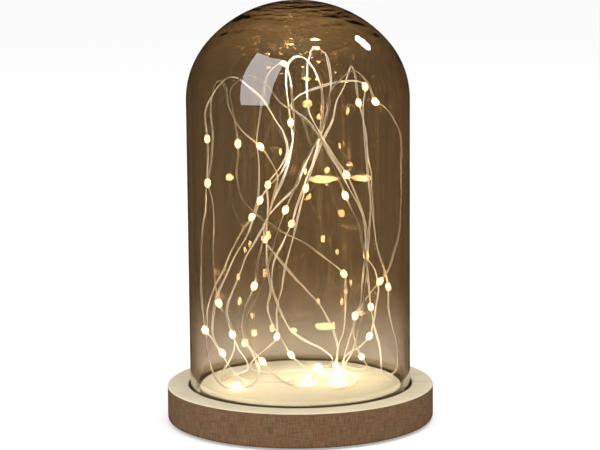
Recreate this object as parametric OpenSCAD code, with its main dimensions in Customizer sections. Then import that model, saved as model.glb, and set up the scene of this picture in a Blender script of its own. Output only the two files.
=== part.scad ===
// Battery lamp: a glass dome on a turned wooden base, filled with a wire string of small LED lamps.
// Millimetres, +Z up. The origin lies under the centre of the base, on the surface it stands on.

/* [Wooden base] */
// Diameter of the turned base
base_d = 145; // [140:1:170]
// Height of the wood, without the feet
base_h = 19; // [19:0.5:30]
// Radius turned on the lower edge
base_lower_r = 2; // [0.5:0.25:3]
// Bevel on the upper edge
base_upper_bevel = 0.6; // [0.2:0.1:1.5]
// Depth of the ring groove that takes the glass
groove_depth = 5; // [3:0.5:6]
// Free width of the groove outside the glass
groove_gap_out = 1; // [0.5:0.25:1.5]
// Free width of the groove inside the glass
groove_gap_in = 2.5; // [1:0.25:3]
// Bevel on the edges of the groove
groove_bevel = 0.4; // [0.2:0.1:0.6]

/* [Glass dome] */
// Outer diameter of the glass
glass_d = 120; // [112:1:124]
// Thickness of the glass
glass_wall = 2.5; // [2:0.25:3]
// Height of the glass from its ground rim to its top
glass_h = 213; // [210:1:260]
// Outer radius of the shoulder curve
shoulder_r = 47; // [40:1:50]
// Height of the domed cap above the straight wall
cap_h = 53; // [50:0.5:56]

/* [Feet] */
// Diameter of a foam foot
foot_d = 12; // [8:1:16]
// Thickness of a foam foot
foot_h = 1; // [0.8:0.1:3]
// Distance of the feet from the centre
foot_circle_r = 60; // [56:1:62]

/* [Battery cells] */
// Diameter of a AAA cell
cell_d = 10.5; // [10.3:0.1:10.7]
// Length of a AAA cell with its nub
cell_l = 44.5; // [44:0.1:45]
// Height of the nub on the plus end
nub_h = 0.8; // [0.6:0.1:1]
// Diameter of the nub
nub_d = 3.8; // [3.2:0.1:4]
// Free space beside each cell
cell_gap = 0.7; // [0.5:0.1:1]
// Number of cells side by side
cells = 3; // [3:1:3]

/* [Battery box] */
// Thickness of the moulded walls
box_wall = 1.5; // [1.2:0.1:1.8]
// Thickness of the roof over the cells
roof_t = 1.2; // [1:0.1:1.5]
// Width of the bay for the circuit board
board_bay_w = 28; // [27:0.5:29]
// Outer corner radius of the box
box_corner_r = 3; // [2:0.5:4]
// How far the box sits above the underside of the wood
box_recess = 0.2; // [0.2:0.1:0.6]
// Free space between box and wood
box_gap = 0.3; // [0.2:0.1:0.5]
// Thickness of the battery door
door_t = 1.5; // [1.3:0.1:1.8]
// Free space round the door
door_gap = 0.3; // [0.25:0.05:0.4]
// Free space between door and cells
door_cell_gap = 0.4; // [0.3:0.1:0.8]
// Radius of the two hinge stubs on the door
stub_r = 0.55; // [0.5:0.05:0.6]
// Length of a hinge stub in its wall
stub_l = 1; // [0.8:0.1:1.1]
// Radial clearance of the hinge stubs
stub_gap = 0.05; // [0.03:0.01:0.1]

/* [Contacts] */
// Thickness of the contact plates
plate_t = 0.4; // [0.3:0.05:0.5]
// Height of the pressed dimple that meets a nub
dimple_h = 0.5; // [0.4:0.05:0.7]
// Length of a contact spring with its cell in place
spring_l = 5; // [4.8:0.1:6]
// Diameter of the spring wire
spring_wire_d = 0.6; // [0.5:0.05:0.65]
// Number of turns in a contact spring
spring_turns = 3; // [3:1:3]

/* [Board and switch] */
// Length of the circuit board
board_l = 38; // [37:1:42]
// Width of the circuit board
board_w = 24; // [23:0.5:25]
// Thickness of the circuit board
board_t = 1.2; // [1:0.1:1.6]
// Length of the slide switch
switch_l = 9.4; // [9:0.1:12]
// Width of the slide switch
switch_w = 4.4; // [4:0.1:5]
// Height of the slide switch
switch_h = 3.5; // [3.2:0.1:4]
// Travel of the switch knob from on, past off, to timer
switch_travel = 4; // [3:0.5:4]
// Width of the knob along its travel
knob_l = 1.6; // [1.2:0.1:1.8]
// Width of the knob across its travel
knob_w = 1.6; // [1.2:0.1:1.8]

/* [Lamp string] */
// Diameter of the lamp wire
wire_d = 0.8; // [0.6:0.05:0.9]
// Diameter of one lamp drop
bead_d = 3.2; // [2.6:0.1:3.6]
// Length of one lamp drop
bead_l = 5.2; // [4:0.1:6]
// Radius of the hole that the string comes up through
cord_hole_r = 2; // [1.5:0.25:2.5]
// Distance of that hole from the centre of the base
cord_hole_x = 25; // [25:1:25]
// Outer diameter of the leads in the box
lead_d = 1; // [0.8:0.1:1.1]

/* [Screws] */
// Radius of the shank of the two box screws
screw_r = 1.25; // [1:0.05:1.4]
// Length of the shank
screw_l = 9; // [6:0.5:10]
// Radius of the screw head
screw_head_r = 2.5; // [2.2:0.1:2.8]
// Height of the screw head
screw_head_h = 1.3; // [1:0.1:1.4]
// Radial clearance round the shank
screw_gap = 0.05; // [0.03:0.01:0.1]
// Thickness of the two screw ears on the box
ear_t = 2; // [1.5:0.1:2.5]

/* [Hidden] */
$fn = 96;
e = 0.01;
wood_z = foot_h;
top_z = wood_z + base_h;
glass_r = glass_d / 2;
rim_z = top_z - groove_depth;
spring_z = rim_z + glass_h - cap_h;
shoulder_x = glass_r - shoulder_r;
// The crown circle touches the shoulder circle, so its centre follows from the cap's height.
crown_rise = cap_h - shoulder_r;
crown_y = (crown_rise * crown_rise - shoulder_x * shoulder_x) / (2 * crown_rise);
crown_r = cap_h - crown_y;

box_z = wood_z + box_recess;
door_top_z = box_z + door_t;
cell_z = door_top_z + door_cell_gap + cell_d / 2;
cell_pitch = cell_d + cell_gap;
bay_w = cells * cell_pitch;
roof_z = cell_z + cell_d / 2 + cell_gap / 3;
box_top_z = roof_z + roof_t;
bay_l = 2 * plate_t + spring_l + cell_l + dimple_h;
box_w = bay_w + board_bay_w + 3 * box_wall;
box_l = bay_l + 2 * box_wall;
box_x = cord_hole_x + 7 - box_w;
bay_x = box_x + box_wall;
board_bay_x = bay_x + bay_w + box_wall;
pocket_z = box_top_z + box_gap;
ear_w = 10;
ear_reach = 10;
ear_x = box_x + box_w / 2;
ear_hole_y = box_l / 2 + ear_reach - ear_w / 2;
ear_z = wood_z + box_recess + screw_head_h;

board_x = board_bay_x + board_bay_w / 2;
board_z = box_z + door_t + switch_h + 0.2;
board_top_z = board_z + board_t;
post_dx = board_w / 2 - 2.5;
post_dy = board_l / 2 - 2.5;
post_r = 1.8;
post_pin_r = 0.8;
post_hole_r = 1;
switch_inset = 5.3;
switch_y = -board_l / 2 + switch_inset + switch_l / 2;
switch_slot_l = switch_travel + knob_l + 0.6;
latch_w = 9;
latch_l = 8;
latch_nose_r = 0.5;
hinge_y = -bay_l / 2 + door_gap + door_t / 2;
hinge_z = box_z + door_t / 2;
door_w = bay_w - 2 * door_gap;
door_x = bay_x + door_gap;

// Route of the lamp string, from the glue plug to its free end. A fourth number marks a lamp.
// up the right side
up_right = [[25, 0, 19], [25, 0, 26], [24, 1, 33], [28, 2, 46], [33, 3, 60], [39, 3, 69],
  [44, 3, 75, 1], [49, 3, 82], [52, 3, 91], [55, 2, 102], [56, 2, 116], [56, 1, 136],
  [56, 0, 149], [55, -1, 157], [52, -3, 163], [49, -5, 168], [45, -7, 172]];
// over the right shoulder, then down the front to the left
front_fall = [[41, -9, 174, 1], [37, -15, 184], [31, -20, 191], [27, -22, 191], [22, -24, 187],
  [17, -26, 181], [16, -27, 172], [12, -28, 161], [9, -28, 154], [2, -28, 142], [-2, -28, 131],
  [-7, -27, 119, 1], [-12, -26, 105], [-16, -26, 91], [-21, -26, 76], [-25, -26, 68],
  [-28, -26, 60], [-28, -26, 52], [-25, -26, 44], [-20, -24, 37, 1]];
// across the disc and up the back
back_rise = [[-14, -21, 29], [-5, -16, 22], [4, -11, 21], [9, -1, 21], [4, 12, 24],
  [-5, 19, 31, 1], [-11, 22, 41], [-15, 23, 47], [-18, 23, 57], [-16, 23, 68], [-18, 23, 81],
  [-18, 22, 100], [-17, 22, 114], [-17, 22, 126, 1], [-10, 21, 136], [-6, 19, 145],
  [-8, 17, 155], [-12, 14, 162], [-19, 10, 174], [-26, 6, 181], [-32, 3, 186], [-37, 0, 187]];
// down the left side
left_fall = [[-41, -1, 184], [-45, -2, 179], [-50, -1, 168], [-49, 0, 154, 1], [-49, 1, 142],
  [-50, 2, 130], [-51, 3, 115], [-53, 3, 103], [-54, 3, 81], [-54, 2, 69], [-53, 2, 57],
  [-52, 2, 49, 1], [-48, 2, 44], [-43, 1, 36], [-37, -1, 27], [-30, -4, 22], [-19, -3, 21],
  [-7, -4, 21]];
// over the first crossing, then up the front from right to left
front_rise = [[4, -4, 24, 1], [11, -2, 24], [17, 4, 22], [20, 10, 27], [21, 10, 37], [24, 8, 46],
  [25, 5, 57], [25, 2, 66], [25, -2, 74], [24, -6, 81, 1], [16, -12, 89], [10, -19, 95],
  [2, -27, 102], [-7, -31, 107], [-13, -33, 111], [-20, -34, 116], [-26, -34, 122],
  [-30, -33, 128], [-32, -33, 139], [-31, -33, 148], [-31, -33, 155, 1], [-32, -33, 164],
  [-34, -31, 174], [-35, -27, 182]];
// the front arch, and down its right leg
front_arch = [[-31, -25, 187], [-25, -25, 190], [-16, -27, 185], [-9, -30, 176], [-1, -32, 171],
  [7, -34, 164], [12, -36, 157], [16, -37, 148], [19, -38, 141], [24, -38, 128, 1],
  [27, -38, 121], [31, -37, 112], [33, -36, 101], [35, -34, 89], [34, -31, 77], [33, -27, 63],
  [31, -21, 51], [28, -14, 40], [24, -7, 31]];
// a loop on the disc, then up through the middle to the highest lamp
middle_rise = [[20, -4, 25, 1], [15, -12, 22], [19, -21, 21], [27, -17, 21], [31, -5, 22],
  [28, 8, 23], [20, 16, 25, 1], [21, 16, 35], [19, 16, 44], [16, 16, 51], [11, 16, 60],
  [3, 16, 69], [-6, 16, 79], [-13, 15, 88], [-19, 14, 97, 1], [-18, 12, 108], [-10, 10, 118],
  [-2, 9, 126], [3, 9, 137], [9, 9, 149], [13, 9, 157], [16, 9, 168], [18, 9, 181],
  [17, 9, 192], [14, 9, 200]];
// down from the highest lamp to the right
middle_fall = [[10, 8, 203, 1], [6, 6, 197], [5, 5, 187], [5, 4, 178], [6, 3, 168], [11, 2, 158],
  [18, 1, 146], [26, 0, 134, 1], [31, -1, 123], [35, -3, 112], [37, -4, 102], [36, -5, 91],
  [34, -6, 77], [33, -7, 66], [30, -7, 58, 1], [29, -6, 50], [30, -3, 43], [32, 2, 37]];
// up the right again, leaning back to the middle
lean_rise = [[34, 8, 32, 1], [37, 14, 26], [36, 22, 22], [30, 28, 21], [24, 28, 24], [27, 26, 30],
  [34, 25, 34], [39, 21, 41, 1], [41, 19, 48], [43, 18, 59], [44, 17, 69], [42, 17, 79],
  [37, 17, 87, 1], [37, 17, 97], [36, 17, 107], [33, 17, 115], [28, 17, 124], [23, 17, 134],
  [18, 17, 142], [13, 17, 151], [7, 17, 160], [0, 17, 166], [-4, 16, 170], [0, 16, 175]];
// the short arc to the right, and down the back
arc_fall = [[6, 17, 178], [12, 18, 180], [19, 19, 182], [26, 19, 183], [33, 18, 183],
  [37, 17, 180, 1], [36, 18, 171], [36, 19, 162], [37, 20, 151], [38, 21, 139], [39, 22, 126],
  [40, 22, 113], [39, 22, 97], [38, 22, 82], [39, 22, 67], [40, 23, 57, 1], [42, 25, 46],
  [45, 27, 35], [46, 26, 27], [46, 20, 22], [49, 11, 21]];
// up the outer right, to the sharp peak
peak_rise = [[53, 4, 25], [54, 1, 33], [53, 2, 42], [51, 4, 49], [49, 6, 60], [49, 8, 71, 1],
  [47, 9, 80], [43, 10, 93], [41, 11, 108], [40, 12, 122], [40, 13, 133], [38, 13, 143],
  [37, 12, 156], [35, 10, 165], [33, 9, 172, 1], [32, 9, 179], [31, 10, 188], [29, 10, 192]];
// from the peak down the back of the middle
peak_fall = [[27, 11, 187], [25, 12, 180], [21, 14, 172], [19, 18, 162], [15, 24, 153],
  [11, 30, 143], [7, 35, 131], [4, 37, 122, 1], [1, 37, 112], [-3, 35, 96], [-8, 32, 78],
  [-10, 31, 66], [-13, 31, 54], [-13, 31, 39, 1], [-18, 32, 33], [-24, 32, 28], [-28, 28, 24],
  [-26, 22, 22], [-18, 19, 21], [-9, 21, 21], [1, 25, 21]];
// from the back of the disc up to the top arch
top_rise = [[10, 28, 22, 1], [17, 32, 22], [18, 36, 26], [11, 33, 32], [2, 27, 38], [-5, 19, 45],
  [-9, 14, 53], [-12, 11, 61], [-15, 9, 72], [-14, 7, 85], [-9, 6, 96], [-4, 4, 107, 1],
  [-1, 3, 117], [4, 1, 131], [8, -1, 142], [11, -3, 153], [13, -6, 167], [13, -8, 179],
  [11, -9, 186], [8, -10, 193], [3, -9, 198]];
// the top arch, and down to the lower left
top_fall = [[-3, -5, 197], [-6, 0, 190], [-6, 3, 180], [-5, 5, 171], [-4, 6, 162, 1],
  [-3, 6, 152], [-5, 6, 141], [-9, 6, 130], [-14, 5, 119], [-17, 5, 110], [-23, 5, 99],
  [-29, 5, 89], [-32, 5, 81], [-37, 4, 69], [-40, 4, 60], [-39, 4, 53], [-37, 4, 46, 1],
  [-34, 5, 38], [-30, 8, 31], [-29, 12, 25], [-33, 15, 22], [-39, 12, 21], [-42, 4, 21]];
// up the left, close to the glass
left_rise = [[-43, -5, 24], [-41, -11, 30], [-37, -14, 37], [-35, -15, 44], [-36, -15, 53],
  [-40, -15, 60], [-43, -15, 67, 1], [-45, -15, 80], [-46, -15, 95], [-45, -15, 111],
  [-46, -15, 124], [-48, -14, 132, 1], [-46, -15, 144], [-45, -15, 158], [-46, -14, 170],
  [-45, -13, 179], [-43, -13, 185], [-40, -13, 186]];
// down again in front of the middle
left_front_fall = [[-38, -14, 182], [-36, -16, 172], [-30, -18, 161], [-20, -19, 152, 1],
  [-15, -20, 145], [-11, -20, 136], [-13, -20, 126], [-16, -20, 115], [-19, -20, 102],
  [-22, -20, 90], [-24, -19, 77, 1], [-29, -18, 65], [-31, -17, 54], [-29, -17, 47],
  [-25, -17, 39], [-22, -19, 31], [-24, -21, 25], [-29, -20, 22]];
// along the disc, up the left and over the second top arch
second_rise = [[-34, -14, 22, 1], [-38, -19, 21], [-44, -21, 26], [-48, -18, 35], [-50, -14, 45],
  [-50, -12, 55], [-49, -11, 65], [-45, -8, 76], [-41, -7, 83], [-37, -8, 93], [-30, -9, 106],
  [-25, -10, 113, 1], [-22, -11, 122], [-21, -12, 132], [-21, -12, 143], [-22, -12, 154],
  [-21, -12, 162], [-19, -12, 175], [-17, -12, 186], [-13, -12, 193], [-7, -12, 195, 1]];
// the last fall, which ends in the last lamp at the lower left
last_fall = [[-4, -12, 187], [-3, -13, 177], [-2, -12, 162], [-4, -11, 149], [-9, -9, 137],
  [-15, -7, 130], [-18, -5, 126], [-21, -4, 121, 1], [-24, -3, 113], [-28, -2, 102],
  [-35, -1, 90], [-40, -1, 79], [-45, -2, 68], [-47, -4, 57], [-47, -6, 47], [-42, -7, 38, 1]];
wire_route = concat(up_right, front_fall, back_rise, left_fall, front_rise, front_arch,
  middle_rise, middle_fall, lean_rise, arc_fall, peak_rise, peak_fall, top_rise, top_fall,
  left_rise, left_front_fall, second_rise, last_fall);
way_points = [for (p = wire_route) [p[0], p[1], p[2]]];
// Where the wire bends sharply, the smooth curve's midpoints are put between the points.
sharp_bend = 30;
full_route = [for (i = [0:len(wire_route) - 1]) each concat([wire_route[i]],
  max(bend(way_points, i), bend(way_points, i + 1)) > sharp_bend ? [midway(way_points, i)] : [])];
wire_points = [for (p = full_route) [p[0], p[1], p[2]]];
lamps = [for (i = [0:len(full_route) - 1]) if (len(full_route[i]) > 3) i];

// Short stretch of the same wire from the board to the glue plug
feed_inset = 7.5;
feed_x = board_x + board_w / 2 - feed_inset;
feed_bend = (cord_hole_x - feed_x) / 4;
feed_points = [[feed_x, 0, board_top_z], [feed_x, 0, board_top_z + 1.2 * feed_bend],
  [feed_x + feed_bend, 0, board_top_z + 2.6 * feed_bend],
  [cord_hole_x - feed_bend, 0, board_top_z + 4.2 * feed_bend],
  [cord_hole_x, 0, board_top_z + 6.4 * feed_bend],
  [cord_hole_x, 0, top_z - groove_depth], way_points[0]];
lead_z = roof_z - 0.6 * lead_d;
lead_y = bay_l / 2 - plate_t - lead_d / 2;
lead_pad_x = board_x - board_w / 3;
lead_pad_y = board_l / 3;

function unit(v) = v / norm(v);
function tangent(p, i) = unit(p[min(i + 1, len(p) - 1)] - p[max(i - 1, 0)]);
function across(v, t) = unit(v - (v * t) * t);
function bend(p, i) = i < 1 || i > len(p) - 2 ? 0
  : acos(unit(p[i] - p[i - 1]) * unit(p[i + 1] - p[i]));
function midway(p, i) = (9 * (p[i] + p[i + 1]) - p[max(i - 1, 0)] - p[min(i + 2, len(p) - 1)]) / 16;

// One round tube along a list of points, with rings that don't twist.
module tube(points, d, sides) {
  count = len(points);
  t = [for (i = [0:count - 1]) tangent(points, i)];
  first = across([0.3, 1, 0.2], t[0]);
  normals = [for (i = 0, n = first; i < count; i = i + 1,
    n = across(n, t[min(i, count - 1)])) n];
  ring = [for (i = [0:count - 1]) for (k = [0:sides - 1])
    points[i] + d / 2 * (cos(360 * k / sides) * normals[i]
    + sin(360 * k / sides) * cross(t[i], normals[i]))];
  walls = [for (i = [0:count - 2]) for (k = [0:sides - 1]) for (h = [0, 1])
    let (a = i * sides + k, b = i * sides + (k + 1) % sides)
    h == 0 ? [a, a + sides, b] : [b, a + sides, b + sides]];
  low_end = [for (k = [1:sides - 2]) [0, k, k + 1]];
  high = (count - 1) * sides;
  high_end = [for (k = [1:sides - 2]) [high, high + k + 1, high + k]];
  polyhedron(ring, concat(walls, low_end, high_end));
}

// Least distance between two straight pieces of wire, a to b and c to d
function clamp01(x) = max(0, min(1, x));
function piece_gap(a, b, c, d) = let (u = b - a, v = d - c, w = a - c, uu = u * u, vv = v * v,
  uv = u * v, uw = u * w, vw = v * w, det = uu * vv - uv * uv,
  s = det > 1e-9 ? clamp01((uv * vw - vv * uw) / det) : 0, t = clamp01((uv * s + vw) / vv),
  q = clamp01((uv * t - uw) / uu)) norm(w + q * u - t * v);
// A wire's least gap to itself, between pieces at least skip apart along it
function self_gap(p, d, skip) = min([for (i = [0:len(p) - 2 - skip])
  for (j = [i + skip:len(p) - 2]) if (norm(p[i] - p[j]) < 40)
  piece_gap(p[i], p[i + 1], p[j], p[j + 1])]) - d;
function total(v, i = 0) = i < len(v) ? v[i] + total(v, i + 1) : 0;
function run_length(p) = total([for (i = [0:len(p) - 2]) norm(p[i + 1] - p[i])]);

// Half of the outline of the dome, drawn in by inset. It starts inset below the rim.
module dome_half(inset) {
  join_y = crown_y - (crown_r - inset) * crown_y / (crown_r - shoulder_r);
  translate([0, rim_z - inset])
    square([glass_r - inset, spring_z - rim_z + inset]);
  translate([0, spring_z]) {
    square([shoulder_x, join_y]);
    intersection() {
      translate([shoulder_x, 0])
        circle(r = shoulder_r - inset);
      square([glass_r, join_y]);
    }
    intersection() {
      translate([0, crown_y])
        circle(r = crown_r - inset);
      translate([0, join_y])
        square([glass_r, cap_h]);
    }
  }
}

module glass_dome() {
  color([0.36, 0.28, 0.2, 0.35])
    rotate_extrude()
      difference() {
        dome_half(0);
        dome_half(glass_wall);
      }
}

// Rectangle with round corners, from its lower left corner
module rounded(x, y, w, l, r) {
  translate([x + r, y])
    square([w - 2 * r, l]);
  translate([x, y + r])
    square([w, l - 2 * r]);
  for (cx = [x + r, x + w - r], cy = [y + r, y + l - r])
    translate([cx, cy])
      circle(r = r);
}

module slab(z0, z1) {
  translate([0, 0, z0])
    linear_extrude(z1 - z0)
      children();
}

// The two screw ears of the battery box, grown by gap
module ears(gap) {
  for (side = [-1, 1]) {
    translate([ear_x, side * ear_hole_y])
      circle(r = ear_w / 2 + gap);
    translate([ear_x - ear_w / 2 - gap, side > 0 ? box_l / 2 - box_wall : -ear_hole_y])
      square([ear_w + 2 * gap, ear_hole_y - box_l / 2 + box_wall]);
  }
}

module at_screws() {
  for (side = [-1, 1])
    translate([ear_x, side * ear_hole_y, 0])
      children();
}

// Half section of the turned wood: round lower edge, bevelled upper edge and the ring groove
module wood_half() {
  r = base_d / 2;
  inner = glass_r - glass_wall - groove_gap_in;
  outer = glass_r + groove_gap_out;
  difference() {
    union() {
      polygon([[0, wood_z], [r - base_lower_r, wood_z], [r - base_lower_r, wood_z + base_lower_r],
        [r, wood_z + base_lower_r], [r, top_z - base_upper_bevel], [r - base_upper_bevel, top_z],
        [0, top_z]]);
      translate([r - base_lower_r, wood_z + base_lower_r])
        intersection() {
          circle(r = base_lower_r);
          translate([0, -base_lower_r])
            square(base_lower_r);
        }
    }
    polygon([[inner, rim_z], [outer, rim_z], [outer, top_z - groove_bevel],
      [outer + groove_bevel + e, top_z + e], [inner - groove_bevel - e, top_z + e],
      [inner, top_z - groove_bevel]]);
  }
}

module wooden_base() {
  color([0.72, 0.55, 0.38])
    difference() {
      rotate_extrude($fn = 180)
        wood_half();
      slab(wood_z - 1, pocket_z)
        rounded(box_x - box_gap, -box_l / 2 - box_gap, box_w + 2 * box_gap, box_l + 2 * box_gap,
          box_corner_r + box_gap);
      slab(wood_z - 1, ear_z + ear_t + box_gap)
        ears(box_gap);
      at_screws()
        cylinder(r = screw_r + screw_gap, h = ear_z + screw_l + 1);
      translate([cord_hole_x, 0, 0])
        cylinder(r = cord_hole_r, h = top_z + 1);
    }
}

module battery_box() {
  stub_hole_l = stub_l + 0.1;
  notch = lead_d + 0.6;
  rib_w = 1.2;
  rib_h = 2.5;
  ledge = 1.2;
  color([0.12, 0.12, 0.12])
    difference() {
      union() {
        difference() {
          slab(box_z, box_top_z)
            rounded(box_x, -box_l / 2, box_w, box_l, box_corner_r);
          slab(box_z - 1, roof_z)
            translate([bay_x, -bay_l / 2])
              square([bay_w, bay_l]);
          slab(box_z + door_t, box_top_z + 1)
            translate([board_bay_x, -bay_l / 2])
              square([board_bay_w, bay_l]);
        }
        slab(ear_z, ear_z + ear_t)
          difference() {
            ears(0);
            translate([bay_x, -bay_l / 2])
              square([bay_w, bay_l]);
            translate([board_bay_x, -bay_l / 2])
              square([board_bay_w, bay_l]);
          }
        // ribs under the roof, in the valleys between the cells
        for (k = [1:cells - 1])
          translate([bay_x + k * cell_pitch - rib_w / 2, -cell_l / 3, roof_z - rib_h])
            cube([rib_w, cell_l * 2 / 3, rib_h + e]);
        // ledges that stop the closed door
        for (x = [bay_x - e, bay_x + bay_w - ledge + e], y = [-cell_l / 3, cell_l / 4])
          translate([x, y, door_top_z + 0.05])
            cube([ledge, 4, ledge]);
        // posts that carry the circuit board, with pins through its holes
        for (dx = [-1, 1], dy = [-1, 1])
          translate([board_x + dx * post_dx, dy * post_dy, box_z + door_t - e]) {
            cylinder(r = post_r, h = board_z - box_z - door_t + e);
            cylinder(r = post_pin_r, h = board_top_z - box_z - door_t + 0.8);
          }
      }
      // slot for the switch knob
      slab(box_z - 1, box_z + door_t + 1)
        translate([board_x - knob_w / 2 - 0.3, switch_y - switch_slot_l / 2])
          square([knob_w + 0.6, switch_slot_l]);
      // finger hollow round the slot
      translate([board_x, switch_y, box_z - 4.4])
        sphere(r = 5.2);
      // notches for the leads
      for (side = [-1, 1])
        translate([board_bay_x - box_wall - 1, side * lead_y - notch / 2, lead_z - notch / 2])
          cube([box_wall + 2, notch, notch]);
      // holes for the stubs of the door
      translate([bay_x - stub_hole_l, hinge_y, hinge_z])
        rotate([0, 90, 0])
          cylinder(r = stub_r + stub_gap, h = bay_w + 2 * stub_hole_l);
      // recess for the nose of the latch
      translate([bay_x + (bay_w - latch_w) / 2, bay_l / 2 - e, hinge_z - latch_nose_r - door_gap])
        cube([latch_w, latch_nose_r, 2 * (latch_nose_r + door_gap)]);
      at_screws()
        cylinder(r = screw_r + screw_gap, h = box_top_z);
    }
}

// Battery door: a plate that turns on two stubs and snaps shut with a tongue
module battery_door() {
  far_y = bay_l / 2 - door_gap;
  mid_x = bay_x + bay_w / 2;
  nose_l = latch_w - 2;
  finger_r = 10;
  slit = 0.8;
  grip_w = 0.7;
  color([0.14, 0.14, 0.14])
    difference() {
      union() {
        translate([door_x, hinge_y, box_z])
          cube([door_w, far_y - hinge_y, door_t]);
        translate([door_x, hinge_y, hinge_z])
          rotate([0, 90, 0])
            cylinder(r = door_t / 2, h = door_w);
        translate([bay_x - stub_l, hinge_y, hinge_z])
          rotate([0, 90, 0])
            cylinder(r = stub_r, h = bay_w + 2 * stub_l);
        translate([mid_x - nose_l / 2, bay_l / 2 + latch_nose_r / 2 - latch_nose_r, hinge_z])
          rotate([0, 90, 0])
            cylinder(r = latch_nose_r, h = nose_l);
      }
      for (side = [-1, 1])
        translate([mid_x + side * (latch_w + slit) / 2 - slit / 2, far_y - latch_l, box_z - e])
          cube([slit, latch_l + 1, door_t + 2 * e]);
      // hollow for the fingertip, and grip grooves on the tongue
      translate([mid_x, far_y - latch_l * 1.4, box_z + 0.4 * door_t - finger_r])
        sphere(r = finger_r);
      for (k = [1:3])
        translate([mid_x - nose_l / 2, far_y - 0.2 * latch_l * k, box_z - e])
          cube([nose_l, grip_w, 0.2 * door_t]);
    }
}

function cell_x(k) = bay_x + (k + 0.5) * cell_pitch;
// 1 where the plus end of cell k points along +Y, and -1 where it points along -Y
function cell_way(k) = k % 2 == 0 ? 1 : -1;

// Turns what is drawn along +Z from the contact wall so that it lies along way, inside the bay
module from_wall(x, way) {
  translate([x, way * bay_l / 2, cell_z])
    rotate([90 * way, 0, 0])
      children();
}

module cell(k) {
  r = cell_d / 2;
  can = cell_l - nub_h;
  nub_r = nub_d / 2;
  color(k == 1 ? [0.25, 0.3, 0.35] : [0.2, 0.25, 0.32])
    from_wall(cell_x(k), -cell_way(k))
      translate([0, 0, plate_t + spring_l])
        rotate_extrude()
          polygon([[0, 0], [r - 0.4, 0], [r, 0.4], [r, can - 0.4], [r - 0.4, can], [nub_r, can],
            [nub_r, cell_l - 0.2], [nub_r - 0.2, cell_l], [0, cell_l]]);
}

module battery_1() cell(0);
module battery_2() cell(1);
module battery_3() cell(2);

// Contact plate on the end wall, over cells first to last, with a dimple for the cell named plus
module contact(first, last, way, plus) {
  half = 4;
  color([0.8, 0.8, 0.78])
    union() {
      translate([cell_x(first) - half, way > 0 ? bay_l / 2 - plate_t : -bay_l / 2, cell_z - half])
        cube([cell_x(last) - cell_x(first) + 2 * half, plate_t, 2 * half]);
      if (plus >= 0)
        from_wall(cell_x(plus), way)
          cylinder(r1 = 2.2, r2 = 1.6, h = plate_t + dimple_h);
      if (first == last)
        translate([cell_x(first) - half, way > 0 ? bay_l / 2 - plate_t : -bay_l / 2,
          cell_z + half - e])
          cube([2, plate_t, lead_z + lead_d / 2 - cell_z - half]);
    }
}

module minus_contact() contact(0, 0, -1, -1);
module plus_contact() contact(2, 2, 1, 2);
module bridge_contact_1() contact(1, 2, -1, 1);
module bridge_contact_2() contact(0, 1, 1, 0);

// Points of a cone spring that starts at a contact plate and ends on the flat end of a cell
spring_rings = 8;
spring_r0 = 3.4;
spring_r1 = 2.1;
function spring_at(a, s) = let (r = spring_r0 + (spring_r1 - spring_r0)
  * max(0, min(1, (s - spring_wire_d) / (spring_l - 2 * spring_wire_d))))
  [r * cos(a), r * sin(a), s];
spring_points = concat([spring_at(0, 0)],
  [for (k = [0:spring_rings * spring_turns]) spring_at(360 * k / spring_rings,
    spring_wire_d + (spring_l - 2 * spring_wire_d) * k / (spring_rings * spring_turns))],
  [spring_at(0, spring_l)]);

module spring(k) {
  color([0.85, 0.85, 0.82])
    from_wall(cell_x(k), -cell_way(k))
      translate([0, 0, plate_t])
        tube(spring_points, spring_wire_d, 6);
}

module contact_spring_1() spring(0);
module contact_spring_2() spring(1);
module contact_spring_3() spring(2);

module circuit_board() {
  color([0.1, 0.35, 0.18])
    difference() {
      translate([board_x - board_w / 2, -board_l / 2, board_z])
        cube([board_w, board_l, board_t]);
      for (dx = [-1, 1], dy = [-1, 1])
        translate([board_x + dx * post_dx, dy * post_dy, board_z - 1])
          cylinder(r = post_hole_r, h = board_t + 2);
    }
}

// Timer chip with four short legs on each side
module timer_chip() {
  w = 3.9;
  l = 4.9;
  h = 1.4;
  lift = 0.15;
  translate([board_x - board_w / 8, board_l / 9, board_top_z]) {
    color([0.08, 0.08, 0.08])
      translate([-w / 2, -l / 2, lift])
        cube([w, l, h]);
    color([0.75, 0.75, 0.75])
      for (side = [-1, 1], k = [0:3])
        translate([side * (w / 2 + 0.4) - 0.5, (k - 1.5) * 1.27 - 0.2, 0])
          cube([1, 0.4, 0.5]);
  }
}

// Watch crystal of the timer, in its can, lying on the board
module timer_crystal() {
  r = 1.5;
  l = 6;
  color([0.75, 0.76, 0.78])
    translate([board_x + board_w / 5, board_l / 5, board_top_z + r]) {
      rotate([-90, 0, 0])
        cylinder(r = r, h = l);
      for (side = [-0.6, 0.6]) {
        translate([side, -1.2, 0])
          rotate([-90, 0, 0])
            cylinder(r = 0.2, h = 1.5, $fn = 24);
        translate([side, -1.2, -r])
          cylinder(r = 0.2, h = r + 0.2, $fn = 24);
      }
    }
}

// Chip resistor that limits the current of the string
module chip_resistor() {
  color([0.15, 0.15, 0.16])
    translate([board_x + board_w / 24, -board_l / 9, board_top_z]) {
      translate([-1.3, -0.75, 0.05])
        cube([2.6, 1.5, 0.5]);
      for (side = [-1, 1])
        translate([side * 1.35 - 0.25, -0.8, 0])
          cube([0.5, 1.6, 0.6]);
    }
}

switch_z = board_z - switch_h;
switch_wall = 0.5;
slider_l = knob_l + 0.8;
slider_w = knob_w + 0.6;
slider_h = 1.1;

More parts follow.
